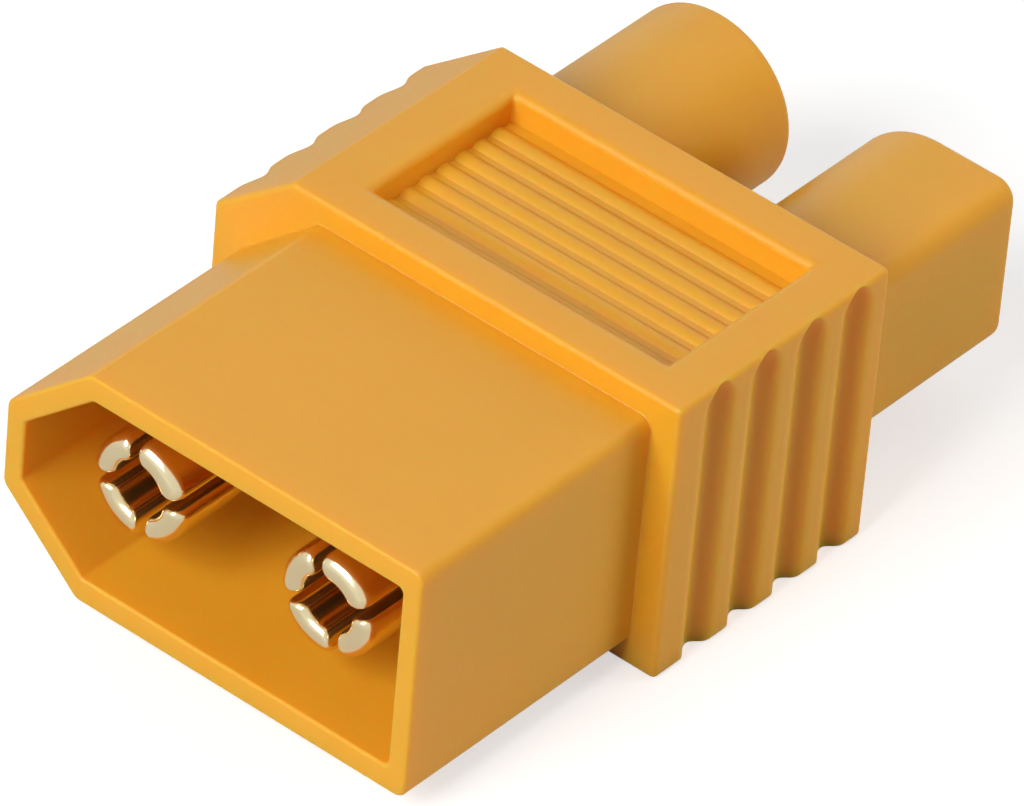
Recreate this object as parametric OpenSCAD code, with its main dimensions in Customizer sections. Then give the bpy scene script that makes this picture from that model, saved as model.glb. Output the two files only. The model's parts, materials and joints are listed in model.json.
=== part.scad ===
// Battery connector adapter: a keyed two-pin plug at the front, a round and a D-shaped barrel at the rear.
// Millimetres. X runs across the two poles, Y from the plug's mouth to the barrels, Z up.
// The origin is under the middle of the part, on the plane that the collar's underside rests on.

/* [Shroud] */
// Outside width of the plug shroud, across the two pins
shroud_w = 15.6; // [14:0.1:16]
// Outside height of the plug shroud
shroud_h = 8.3; // [7.4:0.1:8.6]
// Length of the shroud from its mouth to the collar
shroud_len = 10; // [8:0.1:14]
// Width of the two key bevels at the negative end
shroud_key_w = 3; // [2:0.1:3.6]
// Height of the two key bevels at the negative end
shroud_key_h = 2.65; // [1.8:0.05:3]
// Wall of the shroud at its two ends
shroud_end_wall = 0.7; // [0.5:0.05:1]
// Wall of the shroud at its top and bottom
shroud_face_wall = 0.87; // [0.5:0.01:1]
// Radius of the shroud's long outer edges
shroud_edge_r = 0.4; // [0.1:0.05:0.6]
// Radius of the rim around the mouth
mouth_edge_r = 0.12; // [0.05:0.01:0.25]
// Depth of the cavity from the mouth
cavity_depth = 9.2; // [8:0.1:10.5]
// Radius of the cavity's corners
cavity_corner_r = 0.25; // [0.1:0.05:0.5]
// Radius of the fillet where the shroud grows out of the collar
root_fillet_r = 0.15; // [0.1:0.05:0.4]

/* [Collar] */
// Width of the collar
collar_w = 17.6; // [17.2:0.1:20]
// Height of the collar
collar_h = 10; // [9.7:0.1:12]
// Length of the collar between the shroud and the barrels
collar_len = 9.5; // [8:0.1:14]
// Width of the collar's two bevels at the negative end
collar_key_w = 2.85; // [1.5:0.05:3.5]
// Height of the collar's two bevels at the negative end
collar_key_h = 2.3; // [1.2:0.05:3]
// Radius of the collar's edges
collar_edge_r = 0.3; // [0.1:0.05:0.4]

/* [Grip grooves] */
// Distance between two grooves on the ends of the collar
groove_pitch = 2.06; // [1.6:0.02:3]
// Width of the longer slope of a groove, at the front on the square end and at the rear on the bevelled end
groove_ramp_w = 0.9; // [0.5:0.05:0.9]
// Width of the shorter slope of a groove
groove_rise_w = 0.66; // [0.4:0.02:0.68]
// Depth of a groove
groove_depth = 0.4; // [0.2:0.01:0.45]
// Distance from the collar's front to the bed of the first groove on the square end
groove_front = 2; // [1.5:0.02:2.6]
// Least distance from the bed of the last groove on the square end to the collar's rear
groove_rear = 1.2; // [1:0.05:2]
// Radius on which a groove's bed swings out to the surface under the top edge
groove_runout_r = 1; // [0.6:0.1:2]

/* [Grip recess] */
// Rim beside the recess, left and right
recess_side_rim = 1.75; // [1:0.05:2.5]
// Rim ahead of the recess and behind it
recess_end_rim = 1.6; // [1:0.05:2.5]
// Depth of the recess
recess_depth = 1; // [0.6:0.05:1.3]
// Radius of the lip round the recess
recess_lip_r = 0.3; // [0.05:0.05:0.4]
// Width of the lip at the front of the recess, which falls away more gently
recess_front_lip = 0.5; // [0.3:0.05:0.7]
// Distance between two ridges on the recess floor
ridge_pitch = 0.82; // [0.7:0.02:1.2]
// Width of a ridge at the floor
ridge_w = 0.6; // [0.5:0.02:0.68]
// Height of a ridge
ridge_h = 0.12; // [0.08:0.02:0.24]

/* [Barrels] */
// Length of the barrels behind the collar
barrel_len = 8; // [6:0.1:12]
// Distance between the two socket axes
barrel_pitch = 8.5; // [8:0.1:9]
// How far the pair of sockets lies towards the positive end
barrel_shift = 0.2; // [0:0.05:0.3]
// Wall of the round barrel around its socket
round_barrel_wall = 0.78; // [0.6:0.02:0.9]
// Wall of the D-shaped barrel around its socket
square_barrel_wall = 0.65; // [0.5:0.02:0.9]
// Radius of the D-shaped barrel's two square corners
square_barrel_corner_r = 0.7; // [0.3:0.05:1]
// Radius of the edge at the end of a barrel
barrel_end_r = 0.3; // [0.1:0.05:0.4]
// Thickness of the lip that holds a socket back from the barrel's end
lip_t = 0.6; // [0.4:0.05:1]
// Room between the lip and a pin that enters the socket, all round
lip_gap = 0.25; // [0.15:0.05:0.4]

/* [Pins] */
// Distance between the two pins
pin_pitch = 7.2; // [6.8:0.1:7.6]
// Diameter of a pin
pin_d = 3.5; // [3:0.1:4]
// How far the pin tips lie inside the mouth
pin_setback = 0.95; // [0.5:0.05:2]
// Radius of the rounded edge at a pin's tip
pin_nose_r = 0.4; // [0.1:0.05:0.6]
// Diameter of the blind bore in a pin's tip
pin_bore_d = 1.8; // [1.2:0.1:2.2]
// Depth of the bore in a pin's tip
pin_bore_len = 7; // [6:0.1:7.5]
// Width of the cross slot that splits a pin in four
pin_slot_w = 0.35; // [0.25:0.05:0.6]
// Length of the cross slot
pin_slot_len = 6.5; // [4:0.1:7]
// Turn of the cross slot in the negative pin, in degrees
negative_slot_turn = 9; // [0:1:90]
// Turn of the cross slot in the positive pin, in degrees
positive_slot_turn = 18; // [0:1:90]
// Step of the neck where a pin passes through the cavity floor
pin_neck_step = 0.2; // [0.1:0.05:0.4]
// Step of the flange that anchors a pin in the moulding
pin_flange_step = 0.45; // [0.2:0.05:0.6]
// Length of the flange
pin_flange_len = 1.5; // [1:0.1:2]
// Moulding between the cavity floor and the flange
pin_flange_cover = 0.9; // [0.8:0.1:1.6]
// Diameter of the spigot that is soldered into the socket
pin_spigot_d = 1.8; // [1.4:0.1:2.2]
// Length of the spigot
pin_spigot_len = 2.5; // [1.5:0.1:3.5]

/* [Sockets] */
// Bore of a socket
socket_bore_d = 3.54; // [3.3:0.02:3.8]
// Depth of the socket's bore
socket_bore_len = 8; // [6:0.1:9]
// Wall of a socket
socket_wall = 0.53; // [0.4:0.01:0.7]
// Size of the lead-in at the mouth of a socket
socket_lead_in = 0.2; // [0.1:0.05:0.3]
// Step of the flange that anchors a socket in the moulding
socket_flange_step = 0.3; // [0.2:0.05:0.5]
// Length of the flange
socket_flange_len = 2; // [1:0.1:3]

/* [Hidden] */

nylon = [0.89, 0.63, 0.24];
gold = [0.86, 0.74, 0.47];

$fn = 96;
arc_steps = 5;       // chords in a rounded corner
barrel_steps = 36;   // chords in the half round of the D-shaped barrel
over = 1;            // how far a cutter runs past the face that it opens
sink = 0.5;          // how far a solid runs into the one that it is joined to
edge_share = 0.45;   // share of the collar's step that its edge, or the fillet, may take up
over_swing = 20;     // degrees that a groove's cutter swings on past the surface
finger_middle = 45;  // degrees from a slot in a pin to the middle of a finger
lip_reach = 2;       // how far the recess's cutter runs on past its lip, in chords of the lip's arc
groove_over = 0.1;   // how far a groove's cutter stands out of the face

// Places along the part, from the mouth to the ends of the barrels
overall_len = shroud_len + collar_len + barrel_len;
mouth_y = -overall_len / 2;
collar_y0 = mouth_y + shroud_len;
collar_y1 = collar_y0 + collar_len;
tail_y = collar_y1 + barrel_len;
axis_z = collar_h / 2;

// Both poles: the pin and its socket stand a little off each other's axis
pin_tip_y = mouth_y + pin_setback;
cavity_floor_y = mouth_y + cavity_depth;
pin_flange_y = cavity_floor_y + pin_flange_cover;
joint_y = pin_flange_y + pin_flange_len;
negative_pin_x = -pin_pitch / 2;
positive_pin_x = pin_pitch / 2;
negative_socket_x = barrel_shift - barrel_pitch / 2;
positive_socket_x = barrel_shift + barrel_pitch / 2;
pin_neck_d = pin_d - 2 * pin_neck_step;
pin_flange_d = pin_d + 2 * pin_flange_step;
socket_d = socket_bore_d + 2 * socket_wall;
socket_flange_d = socket_d + 2 * socket_flange_step;
socket_mouth_y = tail_y - lip_t;
lip_d = socket_bore_d + 2 * lip_gap;
round_barrel_d = socket_d + 2 * round_barrel_wall;
square_barrel_h = socket_d + 2 * square_barrel_wall;

// The edge of the collar and the fillet share the step between shroud and collar
collar_step = min(collar_w - shroud_w, collar_h - shroud_h) / 2;
collar_edge = min(collar_edge_r, edge_share * collar_step);
root_fillet = min(root_fillet_r, edge_share * collar_step);

// The bevelled wall of the shroud is as thick as the mean of its neighbours
bevel_wall = (shroud_end_wall + shroud_face_wall) / 2;
bevel_shift = bevel_wall * sqrt(1 / pow(shroud_key_w, 2) + 1 / pow(shroud_key_h, 2));
cavity_w = shroud_w - 2 * shroud_end_wall;
cavity_h = shroud_h - 2 * shroud_face_wall;
cavity_key_w = shroud_key_w * (1 + bevel_shift - shroud_face_wall / shroud_key_h) - shroud_end_wall;
cavity_key_h = shroud_key_h * (1 + bevel_shift - shroud_end_wall / shroud_key_w) - shroud_face_wall;

// A groove's section is a lopsided wave: depth under the face, and place along Y from the groove's bed
groove_wave = [
    for (k = [-arc_steps : arc_steps])
        let (slope_w = k < 0 ? groove_ramp_w : groove_rise_w)
        [groove_depth * (1 + cos(180 * k / arc_steps)) / 2, slope_w * k / arc_steps]
];
groove_section = concat(
    [run_past_face(groove_wave[0], groove_wave[1])],
    [for (k = [1 : 2 * arc_steps - 1]) groove_wave[k]],
    [run_past_face(groove_wave[2 * arc_steps], groove_wave[2 * arc_steps - 1])]
);
groove_count = floor((collar_len - groove_front - groove_rear) / groove_pitch) + 1;
groove_exit = acos(1 - groove_depth / groove_runout_r);
groove_swing = groove_exit + over_swing;

recess_x0 = -collar_w / 2 + collar_key_w + recess_side_rim;
recess_x1 = collar_w / 2 - recess_side_rim;
recess_y0 = collar_y0 + recess_end_rim;
recess_y1 = collar_y1 - recess_end_rim;
ridge_r = (pow(ridge_w / 2, 2) + pow(ridge_h, 2)) / (2 * ridge_h);
ridge_count = floor((recess_y1 - recess_y0) / ridge_pitch);

shroud_corners = key_corners(shroud_w, shroud_h, shroud_key_w, shroud_key_h);
collar_corners = key_corners(collar_w, collar_h, collar_key_w, collar_key_h);
cavity_corners = key_corners(cavity_w, cavity_h, cavity_key_w, cavity_key_h);

// The end of a groove's section, moved on outwards along its last chord
function run_past_face(end, next) = end + groove_over / next[0] * (end - next);

// Outline of a keyed section: square at the positive end, two bevels at the negative end, anticlockwise
function key_corners(w, h, key_w, key_h) = [
    [w / 2, -h / 2],
    [w / 2, h / 2],
    [-w / 2 + key_w, h / 2],
    [-w / 2, h / 2 - key_h],
    [-w / 2, -h / 2 + key_h],
    [-w / 2 + key_w, -h / 2]
];

// Outward normal of the side that runs from corner i to the next
function side_normal(corners, i) =
    let (run = corners[(i + 1) % len(corners)] - corners[i % len(corners)])
    [run[1], -run[0]] / norm(run);

// Way from corner i that moves both of its sides outwards by 1
function corner_way(corners, i) =
    let (before = side_normal(corners, i + len(corners) - 1), after = side_normal(corners, i))
    (before + after) / (1 + before * after);

// The outline with every side moved outwards
function grown(corners, by) = [for (i = [0 : len(corners) - 1]) corners[i] + by * corner_way(corners, i)];

// The outline with every corner turned into an arc
function rounded(corners, r) = [
    for (i = [0 : len(corners) - 1])
        let (
            before = side_normal(corners, i + len(corners) - 1),
            start = atan2(before[1], before[0]),
            turn = acos(before * side_normal(corners, i)),
            centre = corners[i] - r * corner_way(corners, i)
        )
        for (k = [0 : arc_steps])
            let (a = start + turn * k / arc_steps)
            centre + r * [cos(a), sin(a)]
];

// A section of the moulding at one place along Y
function ring(outline, y) = [for (p = outline) [p[0], y, axis_z + p[1]]];

// Skin over a row of rings that all have the same number of points
module loft(rings) {
    n = len(rings[0]);
    last = len(rings) - 1;
    sides = [
        for (k = [0 : last - 1], i = [0 : n - 1])
            let (j = (i + 1) % n)
            each [
                [k * n + i, (k + 1) * n + j, (k + 1) * n + i],
                [k * n + i, k * n + j, (k + 1) * n + j]
            ]
    ];
    front = [for (i = [n - 1 : -1 : 0]) i];
    rear = [for (i = [0 : n - 1]) last * n + i];
    polyhedron(points = [for (r = rings) each r], faces = concat([front], sides, [rear]));
}

// Cylinder along Y between two places
module rod(d, x, y0, y1) {
    translate([x, y0, axis_z]) rotate([-90, 0, 0]) cylinder(d = d, h = y1 - y0);
}

// Solid of revolution about an axis along Y, from a profile of radius and place, with its seam at an angle
module turned(x, profile, seam = 0) {
    translate([x, 0, axis_z]) rotate([-90, -seam, 0]) rotate_extrude() polygon(profile);
}

// Quarter round at the end of a turned profile, from the end face at y to the side at d / 2
function end_round(d, y, r, way) = [
    for (k = [0 : arc_steps])
        let (a = 90 * k / arc_steps)
        [d / 2 - r + r * sin(a), y - way * r * (1 - cos(a))]
];

// Shroud and collar: one skin from the mouth, over the root fillet and round the collar's edges
module body_skin() {
    steps = [for (k = [0 : arc_steps]) 90 * k / arc_steps];
    loft(concat(
        [for (a = steps) ring(
            rounded(grown(shroud_corners, -mouth_edge_r * (1 - sin(a))), shroud_edge_r),
            mouth_y + mouth_edge_r * (1 - cos(a)))],
        [for (a = steps) ring(
            rounded(grown(shroud_corners, root_fillet * (1 - cos(a))), shroud_edge_r),
            collar_y0 - root_fillet * (1 - sin(a)))],
        [for (a = steps) ring(
            rounded(grown(collar_corners, -collar_edge * (1 - sin(a))), collar_edge),
            collar_y0 + collar_edge * (1 - cos(a)))],
        [for (a = steps) ring(
            rounded(grown(collar_corners, -collar_edge * (1 - cos(a))), collar_edge),
            collar_y1 - collar_edge * (1 - sin(a)))]
    ));
}

// Round barrel with a rounded edge at its end
module round_barrel() {
    turned(negative_socket_x, concat(
        [[0, collar_y1 - sink], [0, tail_y]],
        end_round(round_barrel_d, tail_y, barrel_end_r, 1),
        [[round_barrel_d / 2, collar_y1 - sink]]
    ));
}

// D-shaped outline around a socket: half round on the inside, two small corners on the outside
function d_outline(r, corner_r) = concat(
    [for (k = [0 : arc_steps]) let (a = -90 + 90 * k / arc_steps)
        [positive_socket_x + r - corner_r + corner_r * cos(a), -r + corner_r + corner_r * sin(a)]],
    [for (k = [0 : arc_steps]) let (a = 90 * k / arc_steps)
        [positive_socket_x + r - corner_r + corner_r * cos(a), r - corner_r + corner_r * sin(a)]],
    [for (k = [0 : barrel_steps]) let (a = 90 + 180 * k / barrel_steps)
        [positive_socket_x + r * cos(a), r * sin(a)]]
);

// D-shaped barrel with a rounded edge at its end
module square_barrel() {
    r = square_barrel_h / 2;
    steps = [for (k = [0 : arc_steps]) 90 * k / arc_steps];
    loft(concat(
        [ring(d_outline(r, square_barrel_corner_r), collar_y1 - sink)],
        [for (a = steps) let (inset = barrel_end_r * (1 - cos(a))) ring(
            d_outline(r - inset, square_barrel_corner_r - inset),
            tail_y - barrel_end_r * (1 - sin(a)))]
    ));
}

// Cavity of the plug, keyed as the shroud is
module cavity() {
    translate([0, cavity_floor_y, axis_z]) rotate([90, 0, 0])
        linear_extrude(cavity_depth + over) polygon(rounded(cavity_corners, cavity_corner_r));
}

// Finger grooves: straight down the bevelled end, and swung out under the top edge at the square end
module grip_grooves() {
    swing_x = groove_runout_r - groove_depth;
    swing_z = collar_h - groove_runout_r * sin(groove_exit);
    for (i = [0 : groove_count - 1]) translate([0, collar_y0 + groove_front + i * groove_pitch, 0]) {
        translate([-collar_w / 2, groove_rise_w - groove_ramp_w, -over]) linear_extrude(collar_h + 2 * over)
            polygon([for (p = groove_section) [p[0], -p[1]]]);
        translate([collar_w / 2, 0, -over]) linear_extrude(swing_z + over)
            polygon([for (p = groove_section) [-p[0], p[1]]]);
        translate([collar_w / 2 + swing_x, 0, swing_z]) rotate([90, 0, 180])
            rotate_extrude(angle = groove_swing) polygon([for (p = groove_section) [swing_x + p[0], p[1]]]);
    }
}

// A section of the recess at one height, wider than at its floor by the same amount but for the front
function recess_ring(wider, z) =
    let (ahead = wider * recess_front_lip / recess_lip_r) [
        [recess_x0 - wider, recess_y0 - ahead, z],
        [recess_x0 - wider, recess_y1 + wider, z],
        [recess_x1 + wider, recess_y1 + wider, z],
        [recess_x1 + wider, recess_y0 - ahead, z]
    ];

// Thumb recess in the top of the collar, with a rounded lip and with ridges across its floor
module grip_recess() {
    floor_z = collar_h - recess_depth;
    middle_y = (recess_y0 + recess_y1) / 2;
    lip = [for (k = [0 : arc_steps]) let (a = 90 * k / arc_steps) recess_lip_r * [1 - cos(a), sin(a) - 1]];
    past_lip = lip[arc_steps] + lip_reach * (lip[arc_steps] - lip[arc_steps - 1]);
    steps = concat([[0, -recess_depth]], [for (k = [0 : arc_steps - 1]) lip[k]], [past_lip]);
    difference() {
        loft([for (s = steps) recess_ring(s[0], collar_h + s[1])]);
        for (i = [0 : ridge_count - 1]) {
            ridge_y = middle_y + (i - (ridge_count - 1) / 2) * ridge_pitch;
            translate([recess_x0 - over, ridge_y, floor_z + ridge_h - ridge_r])
                rotate([0, 90, 0]) cylinder(r = ridge_r, h = recess_x1 - recess_x0 + 2 * over);
        }
    }
}

// Room that a pin and its socket take up in the moulding, and the mouth ahead of the socket
module pole_seat(pin_x, socket_x) {
    rod(pin_neck_d, pin_x, cavity_floor_y - over, joint_y);
    rod(pin_flange_d, pin_x, pin_flange_y, joint_y);
    rod(socket_flange_d, socket_x, joint_y, joint_y + socket_flange_len);
    rod(socket_d, socket_x, joint_y, socket_mouth_y);
    rod(lip_d, socket_x, socket_mouth_y - sink, tail_y + over);
}

// Pin: split and bored at the tip, anchored by a neck and a flange, with a spigot at the rear
module pin(x, slot_turn) {
    difference() {
        union() {
            turned(x, concat(
                [[0, joint_y], [0, pin_tip_y]],
                end_round(pin_d, pin_tip_y, pin_nose_r, -1),
                [[pin_d / 2, cavity_floor_y], [pin_neck_d / 2, cavity_floor_y]],
                [[pin_neck_d / 2, pin_flange_y], [pin_flange_d / 2, pin_flange_y]],
                [[pin_flange_d / 2, joint_y]]
            ), slot_turn + finger_middle);
            rod(pin_spigot_d, x, joint_y - sink, joint_y + pin_spigot_len);
        }
        rod(pin_bore_d, x, pin_tip_y - over, pin_tip_y + pin_bore_len);
        for (quarter = [0, 90])
            translate([x, pin_tip_y - over, axis_z]) rotate([0, -slot_turn - quarter, 0])
                translate([-pin_d, 0, -pin_slot_w / 2]) cube([2 * pin_d, pin_slot_len + over, pin_slot_w]);
    }
}

// Socket: a tube with a solid base, which has a flange and an off-centre hole for the pin's spigot
module socket(x, pin_x) {
    bore_r = socket_bore_d / 2;
    bore_y = socket_mouth_y - socket_bore_len;
    difference() {
        union() {
            rod(socket_d, x, joint_y, socket_mouth_y);
            rod(socket_flange_d, x, joint_y, joint_y + socket_flange_len);
        }
        turned(x, [
            [0, bore_y],
            [bore_r, bore_y],
            [bore_r, socket_mouth_y - socket_lead_in],
            [bore_r + socket_lead_in, socket_mouth_y],
            [bore_r + socket_lead_in, socket_mouth_y + over],
            [0, socket_mouth_y + over]
        ]);
        rod(pin_spigot_d, pin_x, joint_y - over, joint_y + pin_spigot_len);
    }
}

module housing() {
    color(nylon) difference() {
        union() {
            body_skin();
            round_barrel();
            square_barrel();
        }
        cavity();
        grip_grooves();
        grip_recess();
        pole_seat(negative_pin_x, negative_socket_x);
        pole_seat(positive_pin_x, positive_socket_x);
    }
}

module negative_pin() {
    color(gold) pin(negative_pin_x, negative_slot_turn);
}

module positive_pin() {
    color(gold) pin(positive_pin_x, positive_slot_turn);
}

module negative_socket() {
    color(gold) socket(negative_socket_x, negative_pin_x);
}

module positive_socket() {
    color(gold) socket(positive_socket_x, positive_pin_x);
}

housing();
negative_pin();
positive_pin();
negative_socket();
positive_socket();
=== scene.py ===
import json
import math

import bmesh
import bpy
from mathutils import Matrix, Vector


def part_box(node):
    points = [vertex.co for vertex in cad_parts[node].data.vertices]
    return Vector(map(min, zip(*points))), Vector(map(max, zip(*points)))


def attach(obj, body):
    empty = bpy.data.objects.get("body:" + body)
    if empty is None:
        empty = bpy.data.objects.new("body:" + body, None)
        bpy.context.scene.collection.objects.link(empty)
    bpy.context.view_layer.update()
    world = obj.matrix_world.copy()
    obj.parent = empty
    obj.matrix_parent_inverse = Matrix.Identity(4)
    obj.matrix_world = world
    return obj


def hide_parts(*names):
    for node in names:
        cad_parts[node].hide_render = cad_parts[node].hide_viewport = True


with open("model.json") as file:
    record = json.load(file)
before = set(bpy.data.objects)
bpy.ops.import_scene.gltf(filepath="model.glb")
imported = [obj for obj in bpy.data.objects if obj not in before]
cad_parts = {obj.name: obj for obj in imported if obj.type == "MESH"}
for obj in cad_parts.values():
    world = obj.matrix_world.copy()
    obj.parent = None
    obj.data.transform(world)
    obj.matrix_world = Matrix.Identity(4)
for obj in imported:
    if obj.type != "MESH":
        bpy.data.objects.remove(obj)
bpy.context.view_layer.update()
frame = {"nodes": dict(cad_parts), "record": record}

# Housing
# One moulding in orange-yellow nylon: the keyed shroud of the plug, the thicker collar for the fingers, and
# a round and a D-shaped barrel. It is moulded round the four contacts, so nothing else fastens it.

mm = 0.001
mounts = {mount["name"]: mount for mount in frame["record"]["mounts"]}
housing_low, housing_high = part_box("housing")
mouth_y = housing_low.y
tail_y = housing_high.y
axis_z = (housing_low.z + housing_high.z) / 2
top_z = housing_high.z

shroud_w = 15.6 * mm
shroud_h = 8.3 * mm
shroud_len = 10 * mm
shroud_key = (3.0 * mm, 2.65 * mm)
shroud_edge_r = 0.4 * mm
shroud_end_wall = 0.7 * mm
shroud_face_wall = 0.87 * mm
cavity_depth = 9.2 * mm
cavity_corner_r = 0.25 * mm
mouth_edge_r = 0.12 * mm
root_fillet_r = 0.05 * mm

collar_w = housing_high.x - housing_low.x
collar_h = housing_high.z - housing_low.z
collar_len = 9.5 * mm
collar_key = (2.85 * mm, 2.3 * mm)
collar_edge_r = 0.18 * mm
collar_y0 = mouth_y + shroud_len
collar_y1 = collar_y0 + collar_len
station_step = 0.05 * mm

arc_steps = 8
side_points = 44


def keyed_corners(w, h, key):
    """Corners of a section, square at +X and bevelled twice at -X, anticlockwise seen from the mouth."""
    return [
        Vector((w / 2, -h / 2)),
        Vector((w / 2, h / 2)),
        Vector((-w / 2 + key[0], h / 2)),
        Vector((-w / 2, h / 2 - key[1])),
        Vector((-w / 2, -h / 2 + key[1])),
        Vector((-w / 2 + key[0], -h / 2)),
    ]


def side_normal(corners, i):
    run = corners[(i + 1) % len(corners)] - corners[i % len(corners)]
    return Vector((run.y, -run.x)).normalized()


def corner_way(corners, i):
    """The way that a corner goes when both of its sides move outwards by 1."""
    before = side_normal(corners, i - 1)
    after = side_normal(corners, i)
    return (before + after) / (1 + before.dot(after))


def grown(corners, by):
    return [corner + by * corner_way(corners, i) for i, corner in enumerate(corners)]


def rounded(corners, r):
    """The outline with every corner as an arc."""
    outline = []
    for i, corner in enumerate(corners):
        before = side_normal(corners, i - 1)
        start = math.atan2(before.y, before.x)
        turn = math.acos(before.dot(side_normal(corners, i)))
        centre = corner - r * corner_way(corners, i)
        for k in range(arc_steps + 1):
            a = start + turn * k / arc_steps
            outline.append(centre + r * Vector((math.cos(a), math.sin(a))))
    return outline


def keyed_ring(corners, r, y):
    """A keyed section at y, with extra points up its square end that crowd towards the top."""
    outline = rounded(corners, r)
    bottom = outline[arc_steps]
    top = outline[arc_steps + 1]
    shares = [1 - (1 - (k + 1) / (side_points + 1)) ** 2 for k in range(side_points)]
    square_end = [bottom.lerp(top, share) for share in shares]
    outline[arc_steps + 1:arc_steps + 1] = square_end
    return [Vector((p.x, y, axis_z + p.y)) for p in outline]


def loft(name, rings):
    """A closed mesh over a row of rings with the same number of points."""
    n = len(rings[0])
    form = bmesh.new()
    rows = [[form.verts.new(p) for p in ring] for ring in rings]
    for one, two in zip(rows, rows[1:]):
        for i in range(n):
            form.faces.new((one[i], one[(i + 1) % n], two[(i + 1) % n], two[i]))
    form.faces.new(rows[0])
    form.faces.new(rows[-1])
    bmesh.ops.recalc_face_normals(form, faces=form.faces)
    mesh = bpy.data.meshes.new(name)
    form.to_mesh(mesh)
    form.free()
    obj = bpy.data.objects.new(name, mesh)
    bpy.context.scene.collection.objects.link(obj)
    return obj


quarter = [math.pi / 2 * k / arc_steps for k in range(arc_steps + 1)]
shroud_corners = keyed_corners(shroud_w, shroud_h, shroud_key)
collar_corners = keyed_corners(collar_w, collar_h, collar_key)

# The bevelled wall of the shroud is as thick as the mean of its neighbours
bevel_wall = (shroud_end_wall + shroud_face_wall) / 2
bevel_shift = bevel_wall * math.hypot(1 / shroud_key[0], 1 / shroud_key[1])
cavity_key = (
    shroud_key[0] * (1 + bevel_shift - shroud_face_wall / shroud_key[1]) - shroud_end_wall,
    shroud_key[1] * (1 + bevel_shift - shroud_end_wall / shroud_key[0]) - shroud_face_wall,
)
cavity_corners = keyed_corners(
    shroud_w - 2 * shroud_end_wall, shroud_h - 2 * shroud_face_wall, cavity_key)
cavity_floor_y = mouth_y + cavity_depth

# The skin runs from the cavity floor to the mouth, over its rim, back along the shroud and over the collar
body_rings = [keyed_ring(cavity_corners, cavity_corner_r, cavity_floor_y)]
for a in quarter:
    out = mouth_edge_r * (1 - math.cos(a))
    y = mouth_y + mouth_edge_r * (1 - math.sin(a))
    body_rings.append(keyed_ring(grown(cavity_corners, out), cavity_corner_r, y))
for a in quarter:
    out = -mouth_edge_r * (1 - math.sin(a))
    y = mouth_y + mouth_edge_r * (1 - math.cos(a))
    body_rings.append(keyed_ring(grown(shroud_corners, out), shroud_edge_r, y))
for a in quarter:
    out = root_fillet_r * (1 - math.cos(a))
    y = collar_y0 - root_fillet_r * (1 - math.sin(a))
    body_rings.append(keyed_ring(grown(shroud_corners, out), shroud_edge_r, y))
for a in quarter:
    out = -collar_edge_r * (1 - math.sin(a))
    y = collar_y0 + collar_edge_r * (1 - math.cos(a))
    body_rings.append(keyed_ring(grown(collar_corners, out), collar_edge_r, y))
grip_start = len(body_rings)
station_count = round((collar_len - 2 * collar_edge_r) / station_step) - 1
for k in range(station_count):
    y = collar_y0 + collar_edge_r + (k + 1) * station_step
    body_rings.append(keyed_ring(collar_corners, collar_edge_r, y))
grip_end = len(body_rings)
for a in quarter:
    out = -collar_edge_r * (1 - math.cos(a))
    y = collar_y1 - collar_edge_r * (1 - math.sin(a))
    body_rings.append(keyed_ring(grown(collar_corners, out), collar_edge_r, y))
body = loft("body", body_rings)

# Finger grooves
# Lopsided waves moulded into both ends of the collar, steeper at the rear on one end and at the front on the
# other. At the square end they swing out under the top edge, and at the keyed end they cut both bevels.

groove_pitch = 2.06 * mm
groove_ramp_w = 0.9 * mm
groove_rise_w = 0.66 * mm
keyed_skew = 0.15 * mm
groove_depth = 0.45 * mm
groove_first = 2 * mm
groove_count = 4
groove_soft = 0.06 * mm
groove_runout_r = 1 * mm
runout_h = math.sqrt(groove_runout_r ** 2 - (groove_runout_r - groove_depth) ** 2)
runout_start_z = top_z - runout_h

# Each point of the skin gets the way that a groove moves it, and how far the groove has swung out there
bevel_slope = collar_key[1] / collar_key[0]
arc_ways = [
    Vector((-1, 0, 0)),
    Vector((-1, 0, 0)),
    Vector((0, 0, 0)),
    Vector((1, 0, bevel_slope)),
    Vector((1, 0, -bevel_slope)),
    Vector((0, 0, 0)),
]
ring_ways = []
for i, way in enumerate(arc_ways):
    ring_ways += [way] * (arc_steps + 1)
    if i == 0:
        ring_ways += [way] * side_points
grip_ways = []
run_outs = []
for k, ring in enumerate(body_rings):
    for way, p in zip(ring_ways, ring):
        gripped = grip_start <= k < grip_end
        grip_ways.extend(way if gripped else (0, 0, 0))
        rise = max(0, p.z - runout_start_z) if way.x < 0 else 0
        inset = max(0, collar_w / 2 - p.x) if way.x < 0 else 0
        run_outs.append(groove_runout_r - math.sqrt(groove_runout_r ** 2 - rise ** 2) + inset)
body.data.attributes.new("grip_way", "FLOAT_VECTOR", "POINT").data.foreach_set("vector", grip_ways)
body.data.attributes.new("run_out", "FLOAT", "POINT").data.foreach_set("value", run_outs)


def new_tree(name, inputs):
    """A Geometry Nodes tree with named inputs; returns it with its two end nodes."""
    tree = bpy.data.node_groups.new(name, "GeometryNodeTree")
    tree.interface.new_socket("Geometry", in_out="INPUT", socket_type="NodeSocketGeometry")
    tree.interface.new_socket("Geometry", in_out="OUTPUT", socket_type="NodeSocketGeometry")
    for label, kind in inputs.items():
        tree.interface.new_socket(label, in_out="INPUT", socket_type="NodeSocket" + kind)
    return tree, tree.nodes.new("NodeGroupInput"), tree.nodes.new("NodeGroupOutput")


def node(tree, kind, **sockets):
    """A node with its inputs linked or set; a name such as Value_1 is the second input called Value."""
    made = tree.nodes.new(kind)
    for label, value in sockets.items():
        wanted, _, place = label.replace("__", " ").partition("_")
        found = [s for s in made.inputs if s.name == wanted and s.enabled][int(place or 0)]
        if isinstance(value, bpy.types.NodeSocket):
            tree.links.new(value, found)
        else:
            found.default_value = value
    return made


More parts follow.
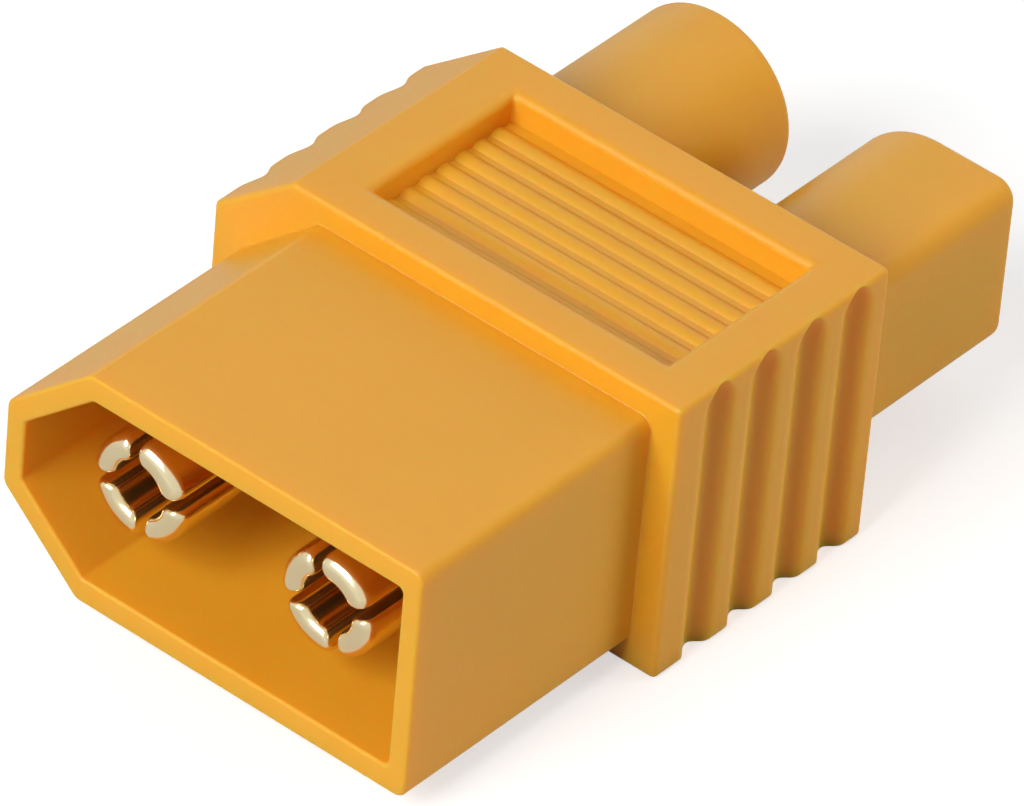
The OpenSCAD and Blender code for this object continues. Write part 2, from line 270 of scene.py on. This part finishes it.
def sums(tree, operation, *values):
    """A Math node; returns its output."""
    made = tree.nodes.new("ShaderNodeMath")
    made.operation = operation
    for socket, value in zip(made.inputs, values):
        if isinstance(value, bpy.types.NodeSocket):
            tree.links.new(value, socket)
        else:
            socket.default_value = value
    return made.outputs[0]


def blend(tree, share, one, two):
    """A Mix node between two colours; returns its output."""
    made = tree.nodes.new("ShaderNodeMix")
    made.data_type = "RGBA"
    inputs = {socket.name: socket for socket in made.inputs if socket.enabled}
    tree.links.new(share, inputs["Factor"])
    inputs["A"].default_value = one
    inputs["B"].default_value = two
    return next(socket for socket in made.outputs if socket.enabled)


def end_tree(tree, geometry, group_out, material):
    """Ends a tree in Realize Instances and Set Material."""
    real = node(tree, "GeometryNodeRealizeInstances", Geometry=geometry)
    dressed = node(tree, "GeometryNodeSetMaterial", Geometry=real.outputs[0], Material=material)
    tree.links.new(dressed.outputs[0], group_out.inputs[0])


def run_tree(obj, tree, values):
    """Runs a tree on an object and leaves its result as the object's plain mesh."""
    modifier = obj.modifiers.new(tree.name, "NODES")
    modifier.node_group = tree
    for item in tree.interface.items_tree:
        if item.in_out == "INPUT" and item.name in values:
            modifier[item.identifier] = values[item.name]
    bake(obj)


def bake(obj):
    """Turns an object and its modifiers into a plain mesh."""
    bpy.context.view_layer.update()
    seen = obj.evaluated_get(bpy.context.evaluated_depsgraph_get())
    mesh = bpy.data.meshes.new_from_object(seen)
    obj.modifiers.clear()
    obj.data = mesh


sharp_angle = math.radians(35)


def shade_evenly(obj, face_weight):
    """Smooth shading that keeps sharp edges sharp and large faces flat."""
    obj.data.shade_smooth()
    obj.data.set_sharp_from_angle(angle=sharp_angle)
    even = obj.modifiers.new("even_faces", "WEIGHTED_NORMAL")
    even.keep_sharp = True
    even.weight = face_weight


nylon_light = (0.90, 0.44, 0.024, 1)
nylon_deep = (0.87, 0.415, 0.020, 1)
nylon = bpy.data.materials.new("orange_nylon")
nylon.use_nodes = True
shade = nylon.node_tree
surface = shade.nodes["Principled BSDF"]
surface.inputs["Specular IOR Level"].default_value = 0.42
surface.inputs["Subsurface Weight"].default_value = 0.8
surface.inputs["Subsurface Radius"].default_value = (1.0, 0.25, 0.06)
surface.inputs["Subsurface Scale"].default_value = 1.1 * mm
place = shade.nodes.new("ShaderNodeTexCoord")
flow = node(shade, "ShaderNodeTexNoise", Vector=place.outputs["Object"], Scale=260.0, Detail=3.0)
tone = blend(shade, flow.outputs["Fac"], nylon_light, nylon_deep)
shade.links.new(tone, surface.inputs["Base Color"])
grain = node(shade, "ShaderNodeTexNoise", Vector=place.outputs["Object"], Scale=6500.0, Detail=2.0)
gloss = node(shade, "ShaderNodeMapRange", Value=grain.outputs["Fac"], To__Min=0.32, To__Max=0.5)
shade.links.new(gloss.outputs[0], surface.inputs["Roughness"])
skin = node(shade, "ShaderNodeBump", Height=grain.outputs["Fac"], Strength=0.25, Distance=0.012 * mm)
shade.links.new(skin.outputs[0], surface.inputs["Normal"])

groove_values = {
    "First": collar_y0 + groove_first,
    "Pitch": groove_pitch,
    "Last": float(groove_count - 1),
    "Ramp": groove_ramp_w,
    "Rise": groove_rise_w,
    "Skew": keyed_skew,
    "Depth": groove_depth,
    "Soft": groove_soft,
}
tree, group_in, group_out = new_tree("Finger grooves", {name: "Float" for name in groove_values})
here = node(tree, "ShaderNodeSeparateXYZ", Vector=tree.nodes.new("GeometryNodeInputPosition").outputs[0])
along = sums(tree, "SUBTRACT", here.outputs["Y"], group_in.outputs["First"])
lopsided = sums(tree, "SUBTRACT", group_in.outputs["Ramp"], group_in.outputs["Rise"])
lopsided = sums(tree, "MULTIPLY", lopsided, 0.5)
along = sums(tree, "ADD", along, lopsided)
skew = sums(tree, "MULTIPLY", sums(tree, "LESS_THAN", here.outputs["X"], 0.0), group_in.outputs["Skew"])
ramp = sums(tree, "ADD", group_in.outputs["Ramp"], skew)
rise = sums(tree, "SUBTRACT", group_in.outputs["Rise"], skew)
nearest = sums(tree, "ROUND", sums(tree, "DIVIDE", along, group_in.outputs["Pitch"]))
nearest = sums(tree, "MINIMUM", sums(tree, "MAXIMUM", nearest, 0.0), group_in.outputs["Last"])
off = sums(tree, "SUBTRACT", along, sums(tree, "MULTIPLY", nearest, group_in.outputs["Pitch"]))
off = sums(tree, "MULTIPLY", off, sums(tree, "SIGN", here.outputs["X"]))
off = sums(tree, "SUBTRACT", sums(tree, "SUBTRACT", off, lopsided), skew)
ahead = sums(tree, "DIVIDE", sums(tree, "MULTIPLY", off, -1.0), ramp)
behind = sums(tree, "DIVIDE", off, rise)
share = sums(tree, "MAXIMUM", ahead, behind)
wave = sums(tree, "COSINE", sums(tree, "MULTIPLY", sums(tree, "MINIMUM", share, 1.0), math.pi))
wave = sums(tree, "MULTIPLY_ADD", wave, 0.5, 0.5)
past = sums(tree, "MAXIMUM", sums(tree, "SUBTRACT", share, 1.0), 0.0)
cut = sums(tree, "MULTIPLY", sums(tree, "SUBTRACT", wave, past), group_in.outputs["Depth"])
run_out = node(tree, "GeometryNodeInputNamedAttribute", Name="run_out")
cut = sums(tree, "SUBTRACT", cut, run_out.outputs[0])
cut = sums(tree, "SMOOTH_MAX", cut, 0.0, group_in.outputs["Soft"])
grip_way = tree.nodes.new("GeometryNodeInputNamedAttribute")
grip_way.data_type = "FLOAT_VECTOR"
grip_way.inputs["Name"].default_value = "grip_way"
push = tree.nodes.new("ShaderNodeVectorMath")
push.operation = "SCALE"
tree.links.new(grip_way.outputs[0], push.inputs[0])
tree.links.new(cut, push.inputs["Scale"])
moved = node(tree, "GeometryNodeSetPosition", Geometry=group_in.outputs[0], Offset=push.outputs[0])
end_tree(tree, moved.outputs[0], group_out, nylon)
run_tree(body, tree, groove_values)

# Recess and ridges
# A thumb recess in the top of the collar, with a row of low, rounded ridges on its floor for grip.
# Both are moulded with the housing: the recess by a raised core in the mould, the ridges by scores in it.

recess_side_rim = 1.75 * mm
recess_end_rim = 1.6 * mm
recess_depth = 1 * mm
recess_corner_r = 0.12 * mm
recess_lip_r = 0.3 * mm
recess_front_lip = 0.5 * mm
ridge_pitch = 0.82 * mm
ridge_w = 0.6 * mm
ridge_h = 0.12 * mm
ridge_count = 7
ridge_points = 48
over = 0.5 * mm

recess_x0 = -collar_w / 2 + collar_key[0] + recess_side_rim
recess_x1 = collar_w / 2 - recess_side_rim
recess_y0 = collar_y0 + recess_end_rim
recess_y1 = collar_y1 - recess_end_rim
recess_floor_z = top_z - recess_depth


def recess_ring(out, z):
    """A section of the recess at z, wider than its floor by the lip, which is broader at the front."""
    front_y = recess_y0 - out * recess_front_lip / recess_lip_r
    corners = [
        Vector((recess_x1 + out, front_y)),
        Vector((recess_x1 + out, recess_y1 + out)),
        Vector((recess_x0 - out, recess_y1 + out)),
        Vector((recess_x0 - out, front_y)),
    ]
    return [Vector((p.x, p.y, z)) for p in rounded(corners, recess_corner_r)]


recess_rings = [recess_ring(0, recess_floor_z)]
for a in quarter:
    out = recess_lip_r * (1 - math.cos(a))
    recess_rings.append(recess_ring(out, top_z - recess_lip_r * (1 - math.sin(a))))
recess_rings.append(recess_ring(recess_lip_r, top_z + over))
recess = loft("recess", recess_rings)

tree, group_in, group_out = new_tree("Recess ridges", {
    "Count": "Int", "Pitch": "Float", "Radius": "Float", "First": "Vector", "Run": "Vector"})
step = node(tree, "ShaderNodeCombineXYZ", Y=group_in.outputs["Pitch"])
row = node(tree, "GeometryNodeMeshLine", Count=group_in.outputs["Count"],
           Start__Location=group_in.outputs["First"], Offset=step.outputs[0])
run = node(tree, "GeometryNodeCurvePrimitiveLine", End=group_in.outputs["Run"])
section = node(tree, "GeometryNodeCurvePrimitiveCircle", Resolution=ridge_points,
               Radius=group_in.outputs["Radius"])
bar = node(tree, "GeometryNodeCurveToMesh", Curve=run.outputs[0], Profile__Curve=section.outputs[0])
bar.inputs["Fill Caps"].default_value = True
bars = node(tree, "GeometryNodeInstanceOnPoints", Points=row.outputs[0], Instance=bar.outputs[0])
end_tree(tree, bars.outputs[0], group_out, nylon)
ridge_r = ((ridge_w / 2) ** 2 + ridge_h ** 2) / (2 * ridge_h)
ridge_y0 = (recess_y0 + recess_y1) / 2 - (ridge_count - 1) / 2 * ridge_pitch
ridges = bpy.data.objects.new("ridges", bpy.data.meshes.new("ridges"))
bpy.context.scene.collection.objects.link(ridges)
run_tree(ridges, tree, {
    "Count": ridge_count,
    "Pitch": ridge_pitch,
    "Radius": ridge_r,
    "First": (recess_x0 - over, ridge_y0, recess_floor_z + ridge_h - ridge_r),
    "Run": (recess_x1 - recess_x0 + 2 * over, 0, 0),
})

# Barrels
# Two hollow barrels at the rear, moulded with the housing, one round and one D-shaped so that a plug goes on
# one way only. A thin lip at each end holds the socket back, and the seats inside fit the contacts.

barrel_end_r = 0.3 * mm
barrel_points = 72
sink = 0.5 * mm
round_barrel_r = mounts["round_barrel"]["dims"]["r_mm"] * mm
square_barrel_r = 2.95 * mm
square_corner_r = 0.7 * mm
lip_r = 2.02 * mm
lip_edge_r = 0.1 * mm


def circle_ring(x, r, y, n=barrel_points):
    turns = [2 * math.pi * k / n for k in range(n)]
    return [Vector((x + r * math.cos(a), y, axis_z + r * math.sin(a))) for a in turns]


def d_ring(x, r, corner_r, y):
    """A section that is half round towards -X and square towards +X."""
    outline = []
    for side in (-1, 1):
        centre = Vector((r - corner_r, side * (r - corner_r)))
        start = -math.pi / 2 if side < 0 else 0
        outline += [centre + corner_r * Vector((math.cos(start + a), math.sin(start + a))) for a in quarter]
    half = barrel_points // 2
    bends = [math.pi / 2 + math.pi * k / half for k in range(half + 1)]
    outline += [r * Vector((math.cos(a), math.sin(a))) for a in bends]
    return [Vector((x + p.x, y, axis_z + p.y)) for p in outline]


negative_socket_x = mounts["negative_socket_bore"]["pos_m"][0]
positive_socket_x = mounts["positive_socket_bore"]["pos_m"][0]
barrel_steps = [(0, collar_y1 - sink)]
for a in quarter:
    barrel_steps.append((barrel_end_r * (1 - math.cos(a)), tail_y - barrel_end_r * (1 - math.sin(a))))
round_barrel = loft("round_barrel", [
    circle_ring(negative_socket_x, round_barrel_r - inset, y)
    for inset, y in barrel_steps
])
square_barrel = loft("square_barrel", [
    d_ring(positive_socket_x, square_barrel_r - inset, square_corner_r - inset, y)
    for inset, y in barrel_steps
])

# Seats for the contacts, cut to the steps of the pins and the sockets
pin_neck_step = 0.2 * mm
pin_flange_len = 1.5 * mm
socket_flange_step = 0.3 * mm
socket_flange_len = 2 * mm
lip_ends = [(lip_edge_r * (1 - math.cos(a)), tail_y - lip_edge_r * (1 - math.sin(a))) for a in quarter]
cutters = []
for pole in ("negative", "positive"):
    pin_low, pin_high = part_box(pole + "_pin")
    socket_low, socket_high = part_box(pole + "_socket")
    pin_x = (pin_low.x + pin_high.x) / 2
    socket_x = (socket_low.x + socket_high.x) / 2
    neck_r = mounts[pole + "_pin_tip"]["dims"]["r_mm"] * mm - pin_neck_step
    pin_flange_r = (pin_high.x - pin_low.x) / 2
    socket_flange_r = (socket_high.x - socket_low.x) / 2
    socket_r = socket_flange_r - socket_flange_step
    joint_y = socket_low.y
    pin_flange_y = joint_y - pin_flange_len
    socket_flange_y = joint_y + socket_flange_len
    cutters.append(loft(pole + "_pin_seat", [
        circle_ring(pin_x, neck_r, cavity_floor_y - over),
        circle_ring(pin_x, neck_r, pin_flange_y),
        circle_ring(pin_x, pin_flange_r, pin_flange_y),
        circle_ring(pin_x, pin_flange_r, joint_y + over),
    ]))
    cutters.append(loft(pole + "_socket_seat", [
        circle_ring(socket_x, socket_flange_r, joint_y),
        circle_ring(socket_x, socket_flange_r, socket_flange_y),
        circle_ring(socket_x, socket_r, socket_flange_y),
        circle_ring(socket_x, socket_r, socket_high.y),
        circle_ring(socket_x, lip_r, socket_high.y),
    ] + [circle_ring(socket_x, lip_r + out, y) for out, y in lip_ends] + [
        circle_ring(socket_x, lip_r + lip_edge_r, tail_y + over),
    ]))

# The pieces of the moulding become one skin
fusing = [(round_barrel, "UNION"), (square_barrel, "UNION"), (recess, "DIFFERENCE"), (ridges, "UNION")]
fusing += [(cutter, "DIFFERENCE") for cutter in cutters]
for tool, operation in fusing:
    fuse = body.modifiers.new(tool.name, "BOOLEAN")
    fuse.operation = operation
    fuse.object = tool
    fuse.solver = "EXACT"
bake(body)
for tool, _ in fusing:
    bpy.data.objects.remove(tool)
body.name = "moulded_housing"
body.data.materials.clear()
body.data.materials.append(nylon)
shade_evenly(body, face_weight=80)
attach(body, "root")
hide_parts("housing")

# Pins
# Turned brass plated in pale gold, bored at the tip and sawn crosswise into four springy fingers.
# A neck and a flange lock each pin in the moulding, and its spigot is soldered into the socket behind.

gold_light = (0.92, 0.80, 0.52, 1)
gold_deep = (0.84, 0.68, 0.38, 1)
gold = bpy.data.materials.new("gold_plate")
gold.use_nodes = True
shade = gold.node_tree
surface = shade.nodes["Principled BSDF"]
surface.inputs["Metallic"].default_value = 1.0
place = shade.nodes.new("ShaderNodeTexCoord")
cloud = node(shade, "ShaderNodeTexNoise", Vector=place.outputs["Object"], Scale=900.0, Detail=3.0)
tone = blend(shade, cloud.outputs["Fac"], gold_light, gold_deep)
shade.links.new(tone, surface.inputs["Base Color"])
gloss = node(shade, "ShaderNodeMapRange", Value=cloud.outputs["Fac"], To__Min=0.1, To__Max=0.26)
shade.links.new(gloss.outputs[0], surface.inputs["Roughness"])
axis_place = node(shade, "ShaderNodeSeparateXYZ", Vector=place.outputs["Object"])
lathe = shade.nodes.new("ShaderNodeTexNoise")
lathe.noise_dimensions = "1D"
shade.links.new(axis_place.outputs["Y"], lathe.inputs["W"])
lathe.inputs["Scale"].default_value = 14000.0
marks = node(shade, "ShaderNodeBump", Height=lathe.outputs["Fac"], Strength=0.15, Distance=0.004 * mm)
shade.links.new(marks.outputs[0], surface.inputs["Normal"])

slot_w = 0.35 * mm
slot_len = 6.5 * mm
pin_bore_r = 0.9 * mm
pin_bore_len = 7 * mm
pin_spigot_r = 0.9 * mm
nose_r = 0.4 * mm
bore_edge_r = 0.3 * mm
slot_edge_r = 0.15 * mm
finger_corner_r = 0.28 * mm
finger_count = 4
finger_steps = 12
slot_turns = {"negative": 9, "positive": 18}


def edge_inset(r, t):
    """How far a rounded edge of radius r lies inside at a distance t from the end face."""
    return r - math.sqrt(r ** 2 - max(0, r - t) ** 2)


# At the tip, where a finger is thin, its corners take this share of half its thickness
corner_share = 0.9


def finger_ring(r, t, y):
    """Section of one finger: a quarter of a tube between two slots, with round corners."""
    outer = r - edge_inset(nose_r, t)
    inner = pin_bore_r + edge_inset(bore_edge_r, t)
    gap = slot_w / 2 + edge_inset(slot_edge_r, t)
    middle = (outer + inner) / 2
    half_h = (outer - inner) / 2
    half_w = middle * (math.pi / 4 - math.asin(gap / middle))
    corners = [(half_w, -half_h), (half_w, half_h), (-half_w, half_h), (-half_w, -half_h)]
    flat = rounded([Vector(corner) for corner in corners], min(finger_corner_r, corner_share * half_h))
    outline = []
    for k, p in enumerate(flat):
        after = flat[(k + 1) % len(flat)]
        parts = finger_steps if k % (arc_steps + 1) == arc_steps else 1
        outline += [p.lerp(after, j / parts) for j in range(parts)]
    ring = []
    for p in outline:
        radius = middle + p.y
        a = math.pi / 4 + p.x / half_w * (math.pi / 4 - math.asin(gap / radius))
        ring.append(Vector((radius * math.cos(a), y, radius * math.sin(a))))
    return ring


tree, group_in, group_out = new_tree("Split pin", {
    "Finger": "Object", "Count": "Int", "Axis": "Vector", "Turn": "Float"})
around = node(
    tree, "GeometryNodePoints", Count=group_in.outputs["Count"], Position=group_in.outputs["Axis"])
one = node(tree, "GeometryNodeObjectInfo", Object=group_in.outputs["Finger"])
index = tree.nodes.new("GeometryNodeInputIndex").outputs[0]
share = sums(tree, "DIVIDE", 2 * math.pi, group_in.outputs["Count"])
turn = sums(tree, "ADD", sums(tree, "MULTIPLY", index, share), group_in.outputs["Turn"])
spin = node(tree, "ShaderNodeCombineXYZ", Y=sums(tree, "MULTIPLY", turn, -1.0))
fingers = node(tree, "GeometryNodeInstanceOnPoints", Points=around.outputs[0],
               Instance=one.outputs["Geometry"], Rotation=spin.outputs[0])
both = tree.nodes.new("GeometryNodeJoinGeometry")
tree.links.new(group_in.outputs[0], both.inputs[0])
tree.links.new(fingers.outputs[0], both.inputs[0])
end_tree(tree, both.outputs[0], group_out, gold)

for pole, turn_deg in slot_turns.items():
    pin_low, pin_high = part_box(pole + "_pin")
    pin_x = (pin_low.x + pin_high.x) / 2
    tip_y = pin_low.y
    pin_r = mounts[pole + "_pin_tip"]["dims"]["r_mm"] * mm
    pin_flange_r = (pin_high.x - pin_low.x) / 2
    joint_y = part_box(pole + "_socket")[0].y
    pin_flange_y = joint_y - pin_flange_len
    depths = [nose_r * (1 - math.cos(a)) for a in quarter] + [slot_len]
    finger = loft(pole + "_finger", [finger_ring(pin_r, t, t) for t in depths])
    pin = loft(pole + "_split_pin", [
        circle_ring(pin_x, pin_bore_r, tip_y + pin_bore_len),
        circle_ring(pin_x, pin_bore_r, tip_y + slot_len),
        circle_ring(pin_x, pin_r, tip_y + slot_len),
        circle_ring(pin_x, pin_r, cavity_floor_y),
        circle_ring(pin_x, pin_r - pin_neck_step, cavity_floor_y),
        circle_ring(pin_x, pin_r - pin_neck_step, pin_flange_y),
        circle_ring(pin_x, pin_flange_r, pin_flange_y),
        circle_ring(pin_x, pin_flange_r, joint_y),
        circle_ring(pin_x, pin_spigot_r, joint_y),
        circle_ring(pin_x, pin_spigot_r, pin_high.y),
    ])
    run_tree(pin, tree, {
        "Finger": finger,
        "Count": finger_count,
        "Axis": (pin_x, tip_y, axis_z),
        "Turn": math.radians(turn_deg),
    })
    bpy.data.objects.remove(finger)
    shade_evenly(pin, face_weight=50)
    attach(pin, "root")
    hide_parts(pole + "_pin")

# Sockets
# Turned brass tubes plated like the pins, each with a solid base that the pin's spigot is soldered into.
# The moulding holds them by a flange, and only their mouths show, inside the lips of the barrels.

for pole in slot_turns:
    socket = frame["nodes"][pole + "_socket"]
    socket.data.materials.clear()
    socket.data.materials.append(gold)

# Studio
# A plain white floor, a white surround and four soft lamps: one in front, one above and two behind.
# The camera stands where the photograph's did.

floor_half = 0.6
floor_z = -0.01 * mm
floor_mesh = bpy.data.meshes.new("floor")
floor_mesh.from_pydata(
    [(-floor_half, -floor_half, floor_z), (floor_half, -floor_half, floor_z),
     (floor_half, floor_half, floor_z), (-floor_half, floor_half, floor_z)], [], [(0, 1, 2, 3)])
floor = bpy.data.objects.new("floor", floor_mesh)
bpy.context.scene.collection.objects.link(floor)
white = bpy.data.materials.new("white_floor")
white.use_nodes = True
shade = white.node_tree
surface = shade.nodes["Principled BSDF"]
surface.inputs["Base Color"].default_value = (0.6, 0.6, 0.6, 1)
surface.inputs["Roughness"].default_value = 0.9
surface.inputs["Emission Color"].default_value = (1, 1, 1, 1)

# The camera sees the floor as white paper, reflections see it dimmer, and it lights nothing by itself
floor_mirrored = 0.3
seen = shade.nodes.new("ShaderNodeLightPath")
mirrored = sums(shade, "MULTIPLY", seen.outputs["Is Glossy Ray"], floor_mirrored)
shown = sums(shade, "MAXIMUM", seen.outputs["Is Camera Ray"], mirrored)
paper = node(shade, "ShaderNodeMapRange", Value=shown, To__Min=0.0, To__Max=0.62)
shade.links.new(paper.outputs[0], surface.inputs["Emission Strength"])
floor_mesh.materials.append(white)

# The surround is white to the camera, a little dimmer in reflections and nearly dark as a light
sky_mirrored = 0.8
world = bpy.data.worlds.new("surround")
bpy.context.scene.world = world
world.use_nodes = True
sky = world.node_tree
background = sky.nodes["Background"]
background.inputs["Color"].default_value = (1, 1, 1, 1)
seen = sky.nodes.new("ShaderNodeLightPath")
mirrored = sums(sky, "MULTIPLY", seen.outputs["Is Glossy Ray"], sky_mirrored)
shown = sums(sky, "MAXIMUM", seen.outputs["Is Camera Ray"], mirrored)
shown = sums(sky, "MAXIMUM", shown, seen.outputs["Is Transmission Ray"])
strength = node(sky, "ShaderNodeMapRange", Value=shown, To__Min=0.03, To__Max=1.0)
sky.links.new(strength.outputs[0], background.inputs["Strength"])

lamp_distance = 0.5


def lamp(name, way, size, power):
    """A square area lamp that looks at the middle of the part."""
    data = bpy.data.lights.new(name, "AREA")
    data.size = size
    data.energy = power
    obj = bpy.data.objects.new(name, data)
    towards = Vector(way).normalized()
    obj.location = Vector((0, 0, axis_z)) + towards * lamp_distance
    obj.rotation_euler = towards.to_track_quat("Z", "Y").to_euler()
    bpy.context.scene.collection.objects.link(obj)
    return obj


lamp("key", way=(-0.09, -0.8, 0.6), size=0.28, power=2.4)
lamp("top", way=(0.1, 0.6, 1), size=0.45, power=0.45)
right_lamp = lamp("right", way=(1, 1.1, 0.25), size=0.25, power=1.2)
lamp("rear", way=(-0.8, 0.8, 0.35), size=0.45, power=0.3)

# The reflection of the right lamp would leave a streak on the round barrel
right_lamp.visible_glossy = False

azimuth = math.radians(37.24)
elevation = math.radians(38.70)
roll = math.radians(5.26)
distance = 375.6 * mm
slide = Vector((-1.575, 0.237)) * mm
aim_depth = 11 * mm
focal_px = 12929
picture_w = 1024
sensor_w = 36

back = Vector((
    math.sin(azimuth) * math.cos(elevation),
    -math.cos(azimuth) * math.cos(elevation),
    math.sin(elevation),
))
right = Vector((math.cos(azimuth), math.sin(azimuth), 0))
up = back.cross(right)
right_rolled = math.cos(roll) * right + math.sin(roll) * up
up_rolled = math.cos(roll) * up - math.sin(roll) * right
camera_data = bpy.data.cameras.new("camera")
camera_data.sensor_width = sensor_w
camera_data.lens = sensor_w * focal_px / picture_w
camera_data.clip_start = 0.01
camera = bpy.data.objects.new("camera", camera_data)
bpy.context.scene.collection.objects.link(camera)
aim = Vector((0, mouth_y + aim_depth, axis_z))
spot = aim + back * distance - right_rolled * slide.x - up_rolled * slide.y
camera.matrix_world = Matrix((right_rolled, up_rolled, back)).transposed().to_4x4()
camera.location = spot
bpy.context.scene.camera = camera
bpy.context.scene.view_settings.view_transform = "Standard"
